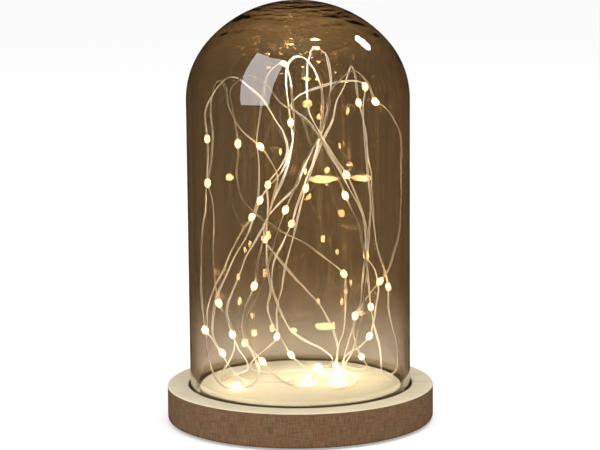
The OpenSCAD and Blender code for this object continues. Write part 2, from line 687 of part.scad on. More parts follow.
module switch_body() {
  free = 0.3;
  color([0.7, 0.7, 0.72])
    translate([board_x, switch_y, switch_z])
      difference() {
        translate([-switch_w / 2, -switch_l / 2, 0])
          cube([switch_w, switch_l, switch_h]);
        translate([-slider_w / 2 - 0.15, -(switch_travel + slider_l) / 2 - free, switch_wall])
          cube([slider_w + 0.3, switch_travel + slider_l + 2 * free, slider_h + 0.3]);
        translate([-knob_w / 2 - 0.15, -(switch_travel + knob_l) / 2 - free, -1])
          cube([knob_w + 0.3, switch_travel + knob_l + 2 * free, 1 + switch_wall + e]);
      }
}

// Knob of the slide switch, drawn in its on position
module switch_knob() {
  tip_z = box_z + 0.2;
  color([0.93, 0.93, 0.9])
    translate([board_x, switch_y - switch_travel / 2, 0]) {
      translate([-slider_w / 2, -slider_l / 2, switch_z + switch_wall + 0.15])
        cube([slider_w, slider_l, slider_h]);
      translate([-knob_w / 2, -knob_l / 2, tip_z])
        cube([knob_w, knob_l, switch_z + switch_wall + 0.2 - tip_z]);
    }
}

// One of the two leads, along the end wall of the bay, through the notch and down to its pad
function lead_points(from_x, way) = [[from_x, way * lead_y, lead_z],
  [(from_x + board_bay_x) / 2, way * lead_y, lead_z],
  [board_bay_x - box_wall, way * lead_y, lead_z],
  [board_bay_x + lead_d, way * lead_y, lead_z],
  [board_bay_x + 2.6 * lead_d, way * (lead_y - 0.6 * lead_d), lead_z],
  [board_bay_x + 4.2 * lead_d, way * (lead_y - 3 * lead_d), lead_z - 0.4 * lead_d],
  [lead_pad_x - 0.8 * lead_d, way * (lead_pad_y + 4 * lead_d), lead_z - 1.2 * lead_d],
  [lead_pad_x - 0.1 * lead_d, way * (lead_pad_y + 1.2 * lead_d), lead_z - 2.2 * lead_d],
  [lead_pad_x, way * lead_pad_y, board_top_z + 1.4 * lead_d],
  [lead_pad_x, way * lead_pad_y, board_top_z]];

module red_lead() {
  color([0.75, 0.08, 0.06])
    tube(lead_points(cell_x(2) - 3, 1), lead_d, 8);
}

module black_lead() {
  color([0.05, 0.05, 0.05])
    tube(lead_points(cell_x(0) - 3, -1), lead_d, 8);
}

module feed_wire() {
  color([0.8, 0.8, 0.78])
    tube(feed_points, wire_d, 8);
}

// Hot-melt glue in the hole, with a flat button on the wood
module glue_plug() {
  button_r = cord_hole_r + 1.4;
  button_h = 0.9;
  ball_r = (button_r * button_r + button_h * button_h) / (2 * button_h);
  color([0.9, 0.88, 0.8, 0.8])
    translate([cord_hole_x, 0, 0]) {
      translate([0, 0, top_z - 3])
        cylinder(r = cord_hole_r - 0.02, h = 3 + e);
      intersection() {
        translate([0, 0, top_z + button_h - ball_r])
          sphere(r = ball_r);
        translate([0, 0, top_z])
          cylinder(r = button_r + 1, h = button_h + 1);
      }
    }
}

module lamp_wire() {
  color([0.82, 0.8, 0.75])
    tube(wire_points, wire_d, 6);
}

// Puts what is drawn along Z at each lamp, along the wire
module at_lamps() {
  for (i = lamps) {
    t = tangent(wire_points, i);
    translate(wire_points[i])
      rotate([0, acos(t[2]), atan2(t[1], t[0])])
        children();
  }
}

// Clear drops of resin, one on each lamp. The outline is in parts of half the width and length.
drop_outline = [[0, -1], [0.6, -0.8], [1, -0.25], [1, 0.25], [0.6, 0.8], [0, 1]];
module lamp_drops() {
  color([1, 0.86, 0.55, 0.8])
    at_lamps()
      rotate_extrude($fn = 32)
        polygon([for (q = drop_outline) [q[0] * bead_d / 2, q[1] * bead_l / 2]]);
}

// The light-emitting chips inside the drops
module lamp_chips() {
  color([1, 0.9, 0.5])
    at_lamps()
      translate([-0.4, -0.3, -0.8])
        cube([0.8, 0.6, 1.6]);
}

module box_screws() {
  color([0.7, 0.7, 0.72])
    at_screws()
      difference() {
        union() {
          translate([0, 0, ear_z - screw_head_h])
            cylinder(r1 = screw_head_r - 0.5, r2 = screw_head_r, h = 0.5);
          translate([0, 0, ear_z - screw_head_h + 0.5])
            cylinder(r = screw_head_r, h = screw_head_h - 0.5);
          translate([0, 0, ear_z - e])
            cylinder(r = screw_r, h = screw_l - 2 + e);
          translate([0, 0, ear_z + screw_l - 2])
            cylinder(r1 = screw_r, r2 = 0.3, h = 2);
        }
        for (a = [0, 90])
          rotate([0, 0, a])
            translate([-1.5, -0.3, ear_z - screw_head_h - 1])
              cube([3, 0.6, 1.8]);
      }
}

module foot(k) {
  color([0.1, 0.1, 0.1])
    rotate([0, 0, 45 + 90 * k])
      translate([foot_circle_r, 0, 0])
        cylinder(d = foot_d, h = foot_h);
}

module foot_1() foot(0);
module foot_2() foot(1);
module foot_3() foot(2);
module foot_4() foot(3);

union() {
  echo(lamps = len(lamps), wire_length = run_length(wire_points));
  echo(wire_gap = self_gap(wire_points, wire_d, 3));
  echo(spring_gap = self_gap(spring_points, spring_wire_d, 3));
}

glass_dome();
wooden_base();
battery_box();
battery_door();
battery_1();
battery_2();
battery_3();
minus_contact();
plus_contact();
bridge_contact_1();
bridge_contact_2();
contact_spring_1();
contact_spring_2();
contact_spring_3();
circuit_board();
timer_chip();
timer_crystal();
chip_resistor();
switch_body();
switch_knob();
red_lead();
black_lead();
feed_wire();
glue_plug();
lamp_wire();
lamp_drops();
lamp_chips();
box_screws();
foot_1();
foot_2();
foot_3();
foot_4();
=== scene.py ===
# A battery lamp: a smoked glass dome stands in a ring groove of a turned wooden base, over one
# long wire of small warm lamps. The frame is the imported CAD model, and lengths are in metres.
import math

import bpy
import numpy as np
from mathutils import Matrix, Vector


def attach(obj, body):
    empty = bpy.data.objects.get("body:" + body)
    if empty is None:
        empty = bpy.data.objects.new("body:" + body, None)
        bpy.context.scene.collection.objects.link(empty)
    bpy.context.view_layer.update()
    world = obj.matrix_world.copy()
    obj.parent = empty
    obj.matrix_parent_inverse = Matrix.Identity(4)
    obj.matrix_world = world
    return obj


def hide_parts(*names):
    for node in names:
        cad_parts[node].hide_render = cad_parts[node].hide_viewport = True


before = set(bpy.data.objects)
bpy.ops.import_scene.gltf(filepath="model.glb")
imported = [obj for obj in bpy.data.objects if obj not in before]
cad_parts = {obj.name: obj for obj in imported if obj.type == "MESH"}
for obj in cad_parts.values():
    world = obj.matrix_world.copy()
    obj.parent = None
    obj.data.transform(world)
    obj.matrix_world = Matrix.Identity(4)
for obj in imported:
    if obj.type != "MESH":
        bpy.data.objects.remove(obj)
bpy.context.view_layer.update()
MM = 0.001


# Studio. A white sheet runs far out under the lamp, into air as white. A soft box stands on the
# left, one hangs above, and a small oval lamp shines from behind on the right. The camera stands
# where the photo's did.
class Value:
    """A socket. Sums and products of values add the Math nodes that work them out."""

    def __init__(self, finish, socket):
        self.finish = finish
        self.socket = socket

    def math(self, operation, *others):
        """A Math node, with this value first."""
        return self.finish.node("Math", {"operation": operation}, dict(enumerate((self,) + others)))

    def __add__(self, other):
        return self.math("ADD", other)

    def __sub__(self, other):
        return self.math("SUBTRACT", other)

    def __rsub__(self, other):
        return self.finish.node("Math", {"operation": "SUBTRACT"}, {0: other, 1: self})

    def __mul__(self, other):
        return self.math("MULTIPLY", other)

    __radd__ = __add__
    __rmul__ = __mul__

    def any(self):
        """1 for a count of one or more, and 0 for none."""
        return self.math("GREATER_THAN", 0.5)

    def between(self, low, high):
        """0 below low, 1 above high, and a smooth rise between them."""
        return self.finish.node("MapRange", {"interpolation_type": "SMOOTHSTEP"},
                                {"Value": self, "From Min": low, "From Max": high})


class Finish:
    """The nodes of one material, of the air round it or of a lamp."""

    MIX_COLORS, MIX_RESULT = (6, 7), 2  # which sockets of a Mix node are the colours'

    def __init__(self, name, owner=None, kind="Material"):
        self.owner = owner or bpy.data.materials.new(name)
        self.owner.use_nodes = True
        self.tree = self.owner.node_tree
        self.tree.nodes.clear()
        self.output = self.tree.nodes.new("ShaderNodeOutput" + kind)

    def node(self, kind, settings=(), values=(), out=0):
        """Any node: its settings are set first, then its sockets get values or links."""
        made = self.tree.nodes.new("ShaderNode" + kind)
        for name, setting in dict(settings).items():
            setattr(made, name, setting)
        for name, value in dict(values).items():
            socket = made.inputs[name]
            if isinstance(value, Value):
                self.tree.links.new(value.socket, socket)
            elif isinstance(value, tuple) and len(value) == 3 and socket.type == "RGBA":
                socket.default_value = (*value, 1)
            else:
                socket.default_value = value
        return Value(self, made.outputs[out])

    def point(self):
        """The point on the object, measured as in the CAD model."""
        return self.node("TexCoord", out="Object")

    def place(self):
        """The same point, as x, y and z."""
        point = self.point()
        return [self.node("SeparateXYZ", (), {0: point}, k) for k in range(3)]

    def vector(self, x, y, z):
        return self.node("CombineXYZ", (), {0: x, 1: y, 2: z})

    def noise(self, where, scale, detail, rough=0.5, warp=0.0):
        return self.node("TexNoise", (), {"Vector": where, "Scale": scale, "Detail": detail,
                                          "Roughness": rough, "Distortion": warp})

    def mix(self, share, one, other):
        """A colour between one and other."""
        first, second = self.MIX_COLORS
        return self.node("Mix", {"data_type": "RGBA"},
                         {"Factor": share, first: one, second: other}, self.MIX_RESULT)

    def bump(self, height, depth, strength):
        return self.node("Bump", (), {"Strength": strength, "Distance": depth, "Height": height})

    def surface(self, shader):
        self.tree.links.new(shader.socket, self.output.inputs["Surface"])
        return self.owner

    def gloss(self, **sockets):
        """The Principled shader, with its sockets named in lower case."""
        return self.node("BsdfPrincipled", (), {k.replace("_", " ").title().replace("Ior", "IOR"): v
                                                for k, v in sockets.items()})


scene = bpy.context.scene
scene.view_settings.view_transform = "Standard"
CAMERA_PLACE = (0.00057, -1.102, 0.2755)
CAMERA_PITCH, CAMERA_ROLL = -8.71, -0.49
SENSOR_WIDTH, LENS = 36, 123.6  # in millimetres
SEES_TO = 60
camera = bpy.data.objects.new("camera", bpy.data.cameras.new("camera"))
scene.collection.objects.link(camera)
camera.data.sensor_width = SENSOR_WIDTH
camera.data.lens = LENS
camera.data.clip_end = SEES_TO
camera.matrix_world = (Matrix.Translation(CAMERA_PLACE)
                       @ Matrix.Rotation(math.radians(90 + CAMERA_PITCH), 4, "X")
                       @ Matrix.Rotation(math.radians(CAMERA_ROLL), 4, "Z"))
scene.camera = camera


def seen_directly(finish):
    """1 for rays from the camera, off a mirror or through glass, and 0 for the rest."""
    path = [finish.node("LightPath", out=name)
            for name in ("Is Camera Ray", "Is Glossy Ray", "Is Transmission Ray")]
    return path[0].math("MAXIMUM", path[1]).math("MAXIMUM", path[2])


def through_glass(finish):
    """1 for what shows through the smoked glass, and 0 for what is seen in the open."""
    return finish.node("LightPath", out="Transmission Depth").any()


ROOM_ROUND, ROOM_IN_GLASS = (0.02, 0.015, 0.01), (0.3, 0.215, 0.13)


def sheet_color(finish, white):
    """White, but a ray that was mirrored on its way finds the dim brown room round the sheet."""
    mirrored = finish.node("LightPath", out="Glossy Depth").any()
    room = finish.mix(through_glass(finish), ROOM_ROUND, ROOM_IN_GLASS)
    return finish.mix(mirrored, (white,) * 3, room)


# The air is white where it is seen and AIR_LIGHT as light on the object. The sheet has its own
# white, and FLOOR_LIFT brings it up to the air's where it is seen.
AIR_LIGHT = 0.74
scene.world = bpy.data.worlds.new("studio_air")
air = Finish("studio_air", scene.world, "World")
air.surface(air.node("Background", (), {
    "Color": air.mix(seen_directly(air), (AIR_LIGHT,) * 3, sheet_color(air, 1.0))}))

FLOOR_HALF = 20
SHEET_WHITE, FLOOR_LIFT = 0.82, 0.34
floor_mesh = bpy.data.meshes.new("studio_floor")
floor_mesh.from_pydata([(x * FLOOR_HALF, y * FLOOR_HALF, 0) for x, y in
                        ((-1, -1), (1, -1), (1, 1), (-1, 1))], [], [(0, 1, 2, 3)])
floor = bpy.data.objects.new("studio_floor", floor_mesh)
scene.collection.objects.link(floor)
sheet = Finish("white_sheet")
floor_mesh.materials.append(sheet.surface(sheet.gloss(
    base_color=sheet_color(sheet, SHEET_WHITE), roughness=0.9, specular_ior_level=0.0,
    emission_color=sheet.mix(seen_directly(sheet), (0, 0, 0), sheet_color(sheet, 1.0)),
    emission_strength=FLOOR_LIFT)))


DOME_MIDDLE = Vector((0, 0, 0.15))


def show_to(lamp, rays):
    """A lamp lights or shows to these kinds of ray only."""
    for ray in ("camera", "diffuse", "glossy", "transmission"):
        setattr(lamp, "visible_" + ray, ray in rays)


def soft_box(name, place, size, watts, rays, shape="RECTANGLE", roll=0.0):
    """A studio lamp that faces the middle of the dome."""
    data = bpy.data.lights.new(name, "AREA")
    data.shape = shape
    data.size, data.size_y = size
    data.energy = watts
    lamp = bpy.data.objects.new(name, data)
    scene.collection.objects.link(lamp)
    lamp.location = place
    facing = (DOME_MIDDLE - Vector(place)).to_track_quat("-Z", "Y").to_matrix()
    lamp.rotation_euler = (facing @ Matrix.Rotation(math.radians(roll), 3, "Z")).to_euler()
    show_to(lamp, rays)


soft_box("left_box_light", (-1.0, -0.95, 0.93), (0.85, 1.25), 4.0, ["diffuse"])
soft_box("left_box_shine", (-0.924, -0.961, 0.9), (0.92, 1.7), 23.0, ["glossy"])
soft_box("right_spot", (0.964, 0.609, 1.193), (0.42, 0.32), 4.5, ["glossy"], "ELLIPSE", 26)
soft_box("top_box", (0.2, -0.3, 1.8), (1.2, 1.2), 13.0, ["diffuse"])


# Lamp string. Two thin strands of silvered, clear-coated wire lie side by side and carry the
# lamps about every 10 cm. The string is fed up through the disc and wound by hand in the dome.
UP_RIGHT = [  # up the right side
    (25, 0, 19), (25, 0, 26), (24, 1, 33), (28, 2, 46), (33, 3, 60), (39, 3, 69), (44, 3, 75, 1),
    (49, 3, 82), (52, 3, 91), (55, 2, 102), (56, 2, 116), (56, 1, 136), (56, 0, 149),
    (55, -1, 157), (52, -3, 163), (49, -5, 168), (45, -7, 172),
]
FRONT_FALL = [  # over the right shoulder, then down the front to the left
    (41, -9, 174, 1), (37, -15, 184), (31, -20, 191), (27, -22, 191), (22, -24, 187),
    (17, -26, 181), (16, -27, 172), (12, -28, 161), (9, -28, 154), (2, -28, 142), (-2, -28, 131),
    (-7, -27, 119, 1), (-12, -26, 105), (-16, -26, 91), (-21, -26, 76), (-25, -26, 68),
    (-28, -26, 60), (-28, -26, 52), (-25, -26, 44), (-20, -24, 37, 1),
]
BACK_RISE = [  # across the disc and up the back
    (-14, -21, 29), (-5, -16, 22), (4, -11, 21), (9, -1, 21), (4, 12, 24), (-5, 19, 31, 1),
    (-11, 22, 41), (-15, 23, 47), (-18, 23, 57), (-16, 23, 68), (-18, 23, 81), (-18, 22, 100),
    (-17, 22, 114), (-17, 22, 126, 1), (-10, 21, 136), (-6, 19, 145), (-8, 17, 155),
    (-12, 14, 162), (-19, 10, 174), (-26, 6, 181), (-32, 3, 186), (-37, 0, 187),
]
LEFT_FALL = [  # down the left side
    (-41, -1, 184), (-45, -2, 179), (-50, -1, 168), (-49, 0, 154, 1), (-49, 1, 142),
    (-50, 2, 130), (-51, 3, 115), (-53, 3, 103), (-54, 3, 81), (-54, 2, 69), (-53, 2, 57),
    (-52, 2, 49, 1), (-48, 2, 44), (-43, 1, 36), (-37, -1, 27), (-30, -4, 22), (-19, -3, 21),
    (-7, -4, 21),
]
FRONT_RISE = [  # over the first crossing, then up the front from right to left
    (4, -4, 24, 1), (11, -2, 24), (17, 4, 22), (20, 10, 27), (21, 10, 37), (24, 8, 46),
    (25, 5, 57), (25, 2, 66), (25, -2, 74), (24, -6, 81, 1), (16, -12, 89), (10, -19, 95),
    (2, -27, 102), (-7, -31, 107), (-13, -33, 111), (-20, -34, 116), (-26, -34, 122),
    (-30, -33, 128), (-32, -33, 139), (-31, -33, 148), (-31, -33, 155, 1), (-32, -33, 164),
    (-34, -31, 174), (-35, -27, 182),
]
FRONT_ARCH = [  # the front arch, and down its right leg
    (-31, -25, 187), (-25, -25, 190), (-16, -27, 185), (-9, -30, 176), (-1, -32, 171),
    (7, -34, 164), (12, -36, 157), (16, -37, 148), (19, -38, 141), (24, -38, 128, 1),
    (27, -38, 121), (31, -37, 112), (33, -36, 101), (35, -34, 89), (34, -31, 77), (33, -27, 63),
    (31, -21, 51), (28, -14, 40), (24, -7, 31),
]
MIDDLE_RISE = [  # a loop on the disc, then up through the middle to the highest lamp
    (20, -4, 25, 1), (15, -12, 22), (19, -21, 21), (27, -17, 21), (31, -5, 22), (28, 8, 23),
    (20, 16, 25, 1), (21, 16, 35), (19, 16, 44), (16, 16, 51), (11, 16, 60), (3, 16, 69),
    (-6, 16, 79), (-13, 15, 88), (-19, 14, 97, 1), (-18, 12, 108), (-10, 10, 118), (-2, 9, 126),
    (3, 9, 137), (9, 9, 149), (13, 9, 157), (16, 9, 168), (18, 9, 181), (17, 9, 192),
    (14, 9, 200),
]
MIDDLE_FALL = [  # down from the highest lamp to the right
    (10, 8, 203, 1), (6, 6, 197), (5, 5, 187), (5, 4, 178), (6, 3, 168), (11, 2, 158),
    (18, 1, 146), (26, 0, 134, 1), (31, -1, 123), (35, -3, 112), (37, -4, 102), (36, -5, 91),
    (34, -6, 77), (33, -7, 66), (30, -7, 58, 1), (29, -6, 50), (30, -3, 43), (32, 2, 37),
]
LEAN_RISE = [  # up the right again, leaning back to the middle
    (34, 8, 32, 1), (37, 14, 26), (36, 22, 22), (30, 28, 21), (24, 28, 24), (27, 26, 30),
    (34, 25, 34), (39, 21, 41, 1), (41, 19, 48), (43, 18, 59), (44, 17, 69), (42, 17, 79),
    (37, 17, 87, 1), (37, 17, 97), (36, 17, 107), (33, 17, 115), (28, 17, 124), (23, 17, 134),
    (18, 17, 142), (13, 17, 151), (7, 17, 160), (0, 17, 166), (-4, 16, 170), (0, 16, 175),
]
ARC_FALL = [  # the short arc to the right, and down the back
    (6, 17, 178), (12, 18, 180), (19, 19, 182), (26, 19, 183), (33, 18, 183), (37, 17, 180, 1),
    (36, 18, 171), (36, 19, 162), (37, 20, 151), (38, 21, 139), (39, 22, 126), (40, 22, 113),
    (39, 22, 97), (38, 22, 82), (39, 22, 67), (40, 23, 57, 1), (42, 25, 46), (45, 27, 35),
    (46, 26, 27), (46, 20, 22), (49, 11, 21),
]
PEAK_RISE = [  # up the outer right, to the sharp peak
    (53, 4, 25), (54, 1, 33), (53, 2, 42), (51, 4, 49), (49, 6, 60), (49, 8, 71, 1), (47, 9, 80),
    (43, 10, 93), (41, 11, 108), (40, 12, 122), (40, 13, 133), (38, 13, 143), (37, 12, 156),
    (35, 10, 165), (33, 9, 172, 1), (32, 9, 179), (31, 10, 188), (29, 10, 192),
]
PEAK_FALL = [  # from the peak down the back of the middle
    (27, 11, 187), (25, 12, 180), (21, 14, 172), (19, 18, 162), (15, 24, 153), (11, 30, 143),
    (7, 35, 131), (4, 37, 122, 1), (1, 37, 112), (-3, 35, 96), (-8, 32, 78), (-10, 31, 66),
    (-13, 31, 54), (-13, 31, 39, 1), (-18, 32, 33), (-24, 32, 28), (-28, 28, 24), (-26, 22, 22),
    (-18, 19, 21), (-9, 21, 21), (1, 25, 21),
]
TOP_RISE = [  # from the back of the disc up to the top arch
    (10, 28, 22, 1), (17, 32, 22), (18, 36, 26), (11, 33, 32), (2, 27, 38), (-5, 19, 45),
    (-9, 14, 53), (-12, 11, 61), (-15, 9, 72), (-14, 7, 85), (-9, 6, 96), (-4, 4, 107, 1),
    (-1, 3, 117), (4, 1, 131), (8, -1, 142), (11, -3, 153), (13, -6, 167), (13, -8, 179),
    (11, -9, 186), (8, -10, 193), (3, -9, 198),
]
TOP_FALL = [  # the top arch, and down to the lower left
    (-3, -5, 197), (-6, 0, 190), (-6, 3, 180), (-5, 5, 171), (-4, 6, 162, 1), (-3, 6, 152),
    (-5, 6, 141), (-9, 6, 130), (-14, 5, 119), (-17, 5, 110), (-23, 5, 99), (-29, 5, 89),
    (-32, 5, 81), (-37, 4, 69), (-40, 4, 60), (-39, 4, 53), (-37, 4, 46, 1), (-34, 5, 38),
    (-30, 8, 31), (-29, 12, 25), (-33, 15, 22), (-39, 12, 21), (-42, 4, 21),
]
LEFT_RISE = [  # up the left, close to the glass
    (-43, -5, 24), (-41, -11, 30), (-37, -14, 37), (-35, -15, 44), (-36, -15, 53),
    (-40, -15, 60), (-43, -15, 67, 1), (-45, -15, 80), (-46, -15, 95), (-45, -15, 111),
    (-46, -15, 124), (-48, -14, 132, 1), (-46, -15, 144), (-45, -15, 158), (-46, -14, 170),
    (-45, -13, 179), (-43, -13, 185), (-40, -13, 186),
]
LEFT_FRONT_FALL = [  # down again in front of the middle
    (-38, -14, 182), (-36, -16, 172), (-30, -18, 161), (-20, -19, 152, 1), (-15, -20, 145),
    (-11, -20, 136), (-13, -20, 126), (-16, -20, 115), (-19, -20, 102), (-22, -20, 90),
    (-24, -19, 77, 1), (-29, -18, 65), (-31, -17, 54), (-29, -17, 47), (-25, -17, 39),
    (-22, -19, 31), (-24, -21, 25), (-29, -20, 22),
]
SECOND_RISE = [  # along the disc, up the left and over the second top arch
    (-34, -14, 22, 1), (-38, -19, 21), (-44, -21, 26), (-48, -18, 35), (-50, -14, 45),
    (-50, -12, 55), (-49, -11, 65), (-45, -8, 76), (-41, -7, 83), (-37, -8, 93), (-30, -9, 106),
    (-25, -10, 113, 1), (-22, -11, 122), (-21, -12, 132), (-21, -12, 143), (-22, -12, 154),
    (-21, -12, 162), (-19, -12, 175), (-17, -12, 186), (-13, -12, 193), (-7, -12, 195, 1),
]
LAST_FALL = [  # the last fall, which ends in the last lamp at the lower left
    (-4, -12, 187), (-3, -13, 177), (-2, -12, 162), (-4, -11, 149), (-9, -9, 137),
    (-15, -7, 130), (-18, -5, 126), (-21, -4, 121, 1), (-24, -3, 113), (-28, -2, 102),
    (-35, -1, 90), (-40, -1, 79), (-45, -2, 68), (-47, -4, 57), (-47, -6, 47), (-42, -7, 38, 1),
]
ROUTE = (UP_RIGHT + FRONT_FALL + BACK_RISE + LEFT_FALL + FRONT_RISE + FRONT_ARCH + MIDDLE_RISE
         + MIDDLE_FALL + LEAN_RISE + ARC_FALL + PEAK_RISE + PEAK_FALL + TOP_RISE + TOP_FALL
         + LEFT_RISE + LEFT_FRONT_FALL + SECOND_RISE + LAST_FALL)
STRAND_R = 0.24 * MM
STRAND_STEP = 1.6 * MM
route = np.array([point[:3] for point in ROUTE], float) * MM
lamp_at = [k for k, point in enumerate(ROUTE) if len(point) > 3]


def smooth_run(points, step):
    """A smooth curve through the points, and where on it each point comes."""
    padded = np.vstack([2 * points[0] - points[1], points, 2 * points[-1] - points[-2]])
    run, places = [], []
    for k in range(1, len(padded) - 2):
        a, b, c, d = padded[k - 1:k + 3]
        places.append(len(run))
        count = max(2, round(float(np.linalg.norm(c - b)) / step))
        for t in np.arange(count) / count:
            run.append(0.5 * (2 * b + (c - a) * t + (2 * a - 5 * b + 4 * c - d) * t * t
                              + (3 * b - a - 3 * c + d) * t ** 3))
    places.append(len(run))
    return np.array(run + [points[-1]]), places


def along(run):
    """The unit direction of a curve at each of its points, and two directions across it."""
    ahead = np.gradient(run, axis=0)
    ahead /= np.linalg.norm(ahead, axis=1)[:, None]
    side = np.cross(ahead[0], (0.3, 1.0, 0.2))
    sides = []
    for direction in ahead:
        side = side - direction * (side @ direction)
        side = side / np.linalg.norm(side)
        sides.append(side)
    sides = np.array(sides)
    return ahead, sides, np.cross(ahead, sides)


def tube(run, radius, ring):
    """Corners and faces of a round tube along a curve, closed at both ends."""
    _, side, other = along(run)
    radius = np.broadcast_to(radius, len(run))
    turn = np.arange(ring) * 2 * math.pi / ring
    corners = (run[:, None] + radius[:, None, None] * (np.cos(turn)[None, :, None] * side[:, None]
               + np.sin(turn)[None, :, None] * other[:, None])).reshape(-1, 3)
    k, j = np.meshgrid(np.arange(len(run) - 1), np.arange(ring), indexing="ij")
    a, b = k * ring + j, k * ring + (j + 1) % ring
    faces = np.stack([a, b, b + ring, a + ring], -1).reshape(-1, 4).tolist()
    last = (len(run) - 1) * ring
    return corners, faces + [list(range(ring))[::-1], [last + j for j in range(ring)]]


def joined(parts):
    """One list of corners and one of faces, from several."""
    corners, faces, start = [], [], 0
    for some, their_faces in parts:
        corners.append(np.asarray(some, float))
        faces += [[start + k for k in face] for face in their_faces]
        start += len(some)
    return np.vstack(corners), faces


def piece(name, shape, material, body, stands_for=(), *, smooth=True):
    """A mesh object that rides on a body and may stand for CAD nodes."""
    mesh = bpy.data.meshes.new(name)
    mesh.from_pydata([tuple(c) for c in shape[0]], [], shape[1])
    mesh.polygons.foreach_set("use_smooth", [smooth] * len(mesh.polygons))
    mesh.materials.append(material)
    made = bpy.data.objects.new(name, mesh)
    scene.collection.objects.link(made)
    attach(made, body)
    if stands_for:
        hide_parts(*stands_for)
    return made


wire_run, route_place = smooth_run(route, STRAND_STEP)
lamp_place = [route_place[k] for k in lamp_at]
wire_ahead, wire_side, wire_other = along(wire_run)
wire_reach = np.concatenate([[0], np.cumsum(np.linalg.norm(np.diff(wire_run, axis=0), axis=1))])

# The strands close up at each lamp, within CLOSE_UP of it. Between lamps they stray apart by a few
# tenths, more and less in turn, and twist round each other once in TWIST, sooner here than there.
CLOSEST, STRAY, CLOSE_UP = 0.25 * MM, 0.2 * MM, 9 * MM
STRAY_WAVE, STRAY_START, STRAY_SHARES = 61 * MM, 1.3, (0.55, 0.45)
TWIST, TWIST_WANDER, WANDER_WAVE = 83 * MM, 0.9, 190 * MM
STRAND_RING = 6
lamp_reach = wire_reach[lamp_place]
to_lamp = np.abs(wire_reach[:, None] - lamp_reach[None]).min(axis=1)
wire_turn = wire_reach * 2 * math.pi
stray = STRAY_SHARES[0] + STRAY_SHARES[1] * np.sin(wire_turn / STRAY_WAVE + STRAY_START)
apart = CLOSEST + STRAY * (1 - np.exp(-to_lamp / CLOSE_UP)) * stray
twist = wire_turn / TWIST + TWIST_WANDER * np.sin(wire_turn / WANDER_WAVE)
across = np.cos(twist)[:, None] * wire_side + np.sin(twist)[:, None] * wire_other
strands = joined([tube(wire_run + side * apart[:, None] * across, STRAND_R, STRAND_RING)
                  for side in (-1, 1)])
silver = Finish("silvered_wire")
tarnish = silver.noise(silver.point(), 160, 3).between(0.42, 0.7)
silvered_wire = silver.surface(silver.gloss(
    base_color=silver.mix(tarnish, (0.96, 0.94, 0.88), (0.86, 0.8, 0.68)),
    metallic=0.5, roughness=tarnish * 0.15 + 0.3, coat_weight=0.4))
lamp_wire = piece("lamp_wire_strands", strands, silvered_wire, "base", ["lamp_wire"])

# Resin drops, set on the wire over the chips. A bead of phosphor gel glows inside each one.
DROP_R, DROP_HALF, BELLY_POWERS = 1.6 * MM, 2.5 * MM, (2.3, 0.55)
TAIL_R, TAIL_HALF, TAIL_POWER = 0.5 * MM, 4.2 * MM, 4
WIRE_COVER = 0.1 * MM
DROP_RING = 14
DROP_ALONG = np.array([-1, -0.86, -0.74, -0.64, -0.56, -0.47, -0.36, -0.24, -0.12, 0, 0.12, 0.24,
                       0.36, 0.47, 0.56, 0.64, 0.74, 0.86, 1])
GEL_R, GEL_HALF, GEL_TIP_R = 0.95 * MM, 1.25 * MM, 0.02 * MM
GEL_ALONG = np.array([-1, -0.9, -0.7, -0.45, -0.15, 0.15, 0.45, 0.7, 0.9, 1])


def drop(place, size):
    """One resin drop round the wire, thick in the middle and drawn out along both strands."""
    off = DROP_ALONG * TAIL_HALF
    belly = np.clip(1 - np.abs(off / DROP_HALF) ** BELLY_POWERS[0], 0, 1) ** BELLY_POWERS[1]
    tail = 1 - np.abs(DROP_ALONG) ** TAIL_POWER
    radius = np.maximum(DROP_R * size * belly, TAIL_R * tail) + WIRE_COVER
    reach = wire_reach[place] + off
    bent = np.stack([np.interp(reach, wire_reach, wire_run[:, k]) for k in range(3)], 1)
    past_end = reach - np.clip(reach, 0, wire_reach[-1])
    return tube(bent + wire_ahead[place] * past_end[:, None], radius, DROP_RING)


def gel(place, size):
    """The bead of phosphor gel over the chip, in the middle of its drop."""
    off = GEL_ALONG * GEL_HALF * size
    run = wire_run[place] + off[:, None] * wire_ahead[place]
    return tube(run, GEL_R * size * np.sqrt(1 - GEL_ALONG ** 2) + GEL_TIP_R, DROP_RING)


# The lamps that glow more or less than the others, counted along the wire. A kind of lamp is its
# power and the size of its bead.
BRIGHT = {2, 8, 12, 14, 20, 22, 26, 34, 35, 38, 39}
DIM = {15, 21, 29}
BRIGHT_LAMP, EVEN_LAMP, DIM_LAMP = (2.0, 1.2), (1.0, 1.0), (0.35, 0.5)
lamp_kinds = [BRIGHT_LAMP if k in BRIGHT else DIM_LAMP if k in DIM else EVEN_LAMP
              for k in range(1, len(lamp_at) + 1)]
power = np.array([share for share, _ in lamp_kinds])
SMALLEST_DROP = 0.88
draw = np.random.default_rng(7)
drops = [drop(place, draw.uniform(SMALLEST_DROP, 1.0)) for place in lamp_place]
GLOW_REACH = 0.5  # as a share of half a drop
fade = np.exp(-(DROP_ALONG / GLOW_REACH) ** 2)

